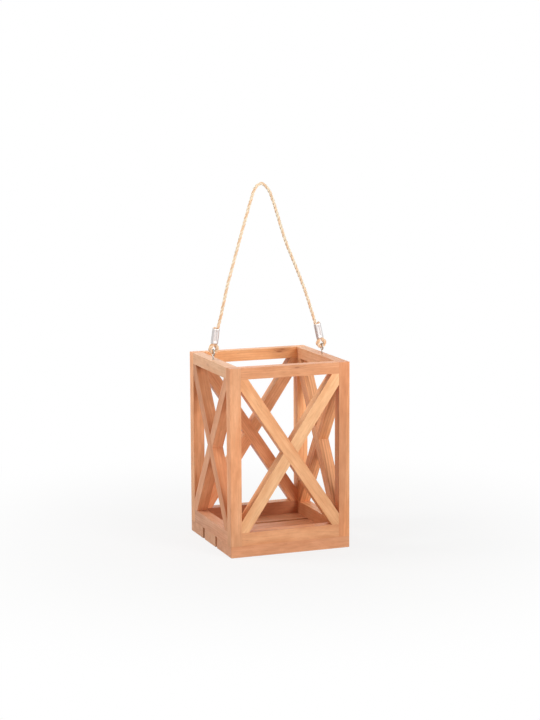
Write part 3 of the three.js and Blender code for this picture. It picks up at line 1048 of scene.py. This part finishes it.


# Rope fibre: straw coloured, with painted shade between the strands
strandLook = {
    "high": (255, 238, 210),
    "low": (249, 200, 155),
    "shares": {"strandGapShade": 0.62, "yarn": -0.18, "fuzz": 0.4, "blotch": 0.4},  # of the darkness
    "middle": 0.334,  # about half the rope's length
    "roughness": (0.8, 0.92),
    "yarns": 5,  # in a strand
    "yarnPitch": 6.5 * mm,
    "fuzz": 1800,  # noise scales
    "blotch": 140,
    "pale": -0.14,  # painted light: the rope's right leg paler towards its end
    "paintedLightAlong": (0.31, 0.40),
    "paintedLoopShade": 0.45,  # painted shade: darker in the loops near the eyes
    "loopShadeAlong": (0.17, 0.31),  # from the middle
    "relief": 0.12 * mm,
}


def ropeMaterial():
    material, tree, shader = newMaterial("straw_rope")
    uv = tree.nodes.new("ShaderNodeUVMap")
    uv.uv_map = "lay"
    along, across = separated(tree, uv.outputs["UV"])[:2]  # across counts the strands
    # Yarns wind round each strand against the lay
    wind = calc(tree, "ADD", calc(tree, "DIVIDE", along, strandLook["yarnPitch"]), across)
    yarn = calc(tree, "SINE", calc(tree, "MULTIPLY", wind, math.tau * strandLook["yarns"]))
    yarn = spread(tree, yarn, -1, 1)
    place = objectPlace(tree)
    fuzz = noise(tree, place, strandLook["fuzz"], 3, 0.65)
    blotch = noise(tree, place, strandLook["blotch"], 2, 0.6)
    # Painted shade in the creases between the strands
    strandGapShade = calc(tree, "SINE", calc(tree, "MULTIPLY", across, math.pi))
    strandGapShade = spread(tree, strandGapShade, 0.05, 0.6, 1, 0)
    # How dark the fibre is: each part adds its share where it stands above its own level
    shares = strandLook["shares"]
    level = calc(tree, "MULTIPLY", strandGapShade, shares["strandGapShade"])
    for part, value, base in (("yarn", yarn, 1), ("fuzz", fuzz, 0.5), ("blotch", blotch, 0.5)):
        level = calc(tree, "MULTIPLY_ADD", calc(tree, "SUBTRACT", value, base), shares[part], level)
    # Painted light: the right leg paler
    pale = spread(tree, along, *strandLook["paintedLightAlong"], 0, strandLook["pale"])
    # Painted shade in the loops near the eyes, from the middle outwards
    fromMiddle = calc(tree, "ABSOLUTE", calc(tree, "SUBTRACT", along, strandLook["middle"]))
    paintedLoopShade = spread(tree, fromMiddle, *strandLook["loopShadeAlong"], 0, strandLook["paintedLoopShade"])
    level = calc(tree, "ADD", calc(tree, "ADD", level, pale), paintedLoopShade, clamp=True)
    colour = blendColours(tree, level, paint(*strandLook["high"]), paint(*strandLook["low"]))
    tree.links.new(colour, shader.inputs["Base Color"])
    rough = spread(tree, fuzz, 0.3, 0.7, *strandLook["roughness"])
    tree.links.new(rough, shader.inputs["Roughness"])
    height = calc(tree, "ADD", yarn, calc(tree, "MULTIPLY", fuzz, 0.8))
    bump(tree, shader, height, strandLook["relief"], 0.8)
    return material


# Plain studio: white surroundings, a pale floor and large soft lamps
studio = {
    "fill": 0.36,  # how strongly the surroundings light the lantern
    "lamps": {
        "key": {"place": (0.8, -1.8, 0.9), "size": 0.9, "power": 24},
        "left": {"place": (-1.15, 0.38, 1.45), "size": 0.7, "power": 15.2},
        "back": {"place": (0.6, 2.8, 1.6), "size": 2.0, "power": 8},
    },
    "aim": Vector((0, 0, 0.25)),
    "floor": (214, 213, 211),
    "floorRoughness": 0.9,
    "floorReach": 6.0,
    "floorSteps": 48,  # round its edge
    "floorDrop": 0.2 * mm,  # below the lantern's underside
    "floorShadow": 0.18,  # how much of its shading the floor shows
    "shadowFade": (0.15, 0.75),  # it shows less of it further away
}


def makeWorld():
    world = bpy.data.worlds.new("studio")
    scene.world = world
    world.use_nodes = True
    tree = world.node_tree
    tree.nodes.clear()
    background = tree.nodes.new("ShaderNodeBackground")
    background.inputs["Color"].default_value = (1, 1, 1, 1)
    strength = spread(tree, seenDirectly(tree), 0, 1, studio["fill"], 1)
    tree.links.new(strength, background.inputs["Strength"])
    output = tree.nodes.new("ShaderNodeOutputWorld")
    tree.links.new(background.outputs[0], output.inputs[0])


def makeLamp(name, look):
    data = bpy.data.lights.new(name, "AREA")
    data.shape = "DISK"
    data.size = look["size"]
    data.energy = look["power"]
    lamp = addObject(name, data)
    lamp.location = look["place"]
    lamp.rotation_euler = (studio["aim"] - lamp.location).to_track_quat("-Z", "Y").to_euler()


def makeFloor():
    steps, reach = studio["floorSteps"], studio["floorReach"]
    turns = [math.tau * k / steps for k in range(steps)]
    verts = [(0, 0, 0)] + [(reach * math.cos(turn), reach * math.sin(turn), 0) for turn in turns]
    faces = [(0, k + 1, (k + 1) % steps + 1) for k in range(steps)]
    floor = makeObject("floor", verts, faces, smooth=False)
    floor.location.z = -studio["floorDrop"]
    material, tree, shader = newMaterial("pale_floor")
    shader.inputs["Base Color"].default_value = paint(*studio["floor"])
    shader.inputs["Roughness"].default_value = studio["floorRoughness"]
    glow = tree.nodes.new("ShaderNodeEmission")
    place = objectPlace(tree)
    away = vectorCalc(tree, "LENGTH", place)
    far = spread(tree, away, *studio["shadowFade"], 1 - studio["floorShadow"], 1, smooth=True)
    mix = tree.nodes.new("ShaderNodeMixShader")
    tree.links.new(calc(tree, "MULTIPLY", far, seenDirectly(tree)), mix.inputs[0])
    tree.links.new(shader.outputs[0], mix.inputs[1])
    tree.links.new(glow.outputs[0], mix.inputs[2])
    tree.links.new(mix.outputs[0], tree.nodes["Material Output"].inputs[0])
    floor.data.materials.append(material)


ropeObject.data.materials.append(ropeMaterial())
makeFrame()
dressMetal()
makeWorld()
for lampName, lampLook in studio["lamps"].items():
    makeLamp(lampName, lampLook)
makeFloor()
print("studio made")
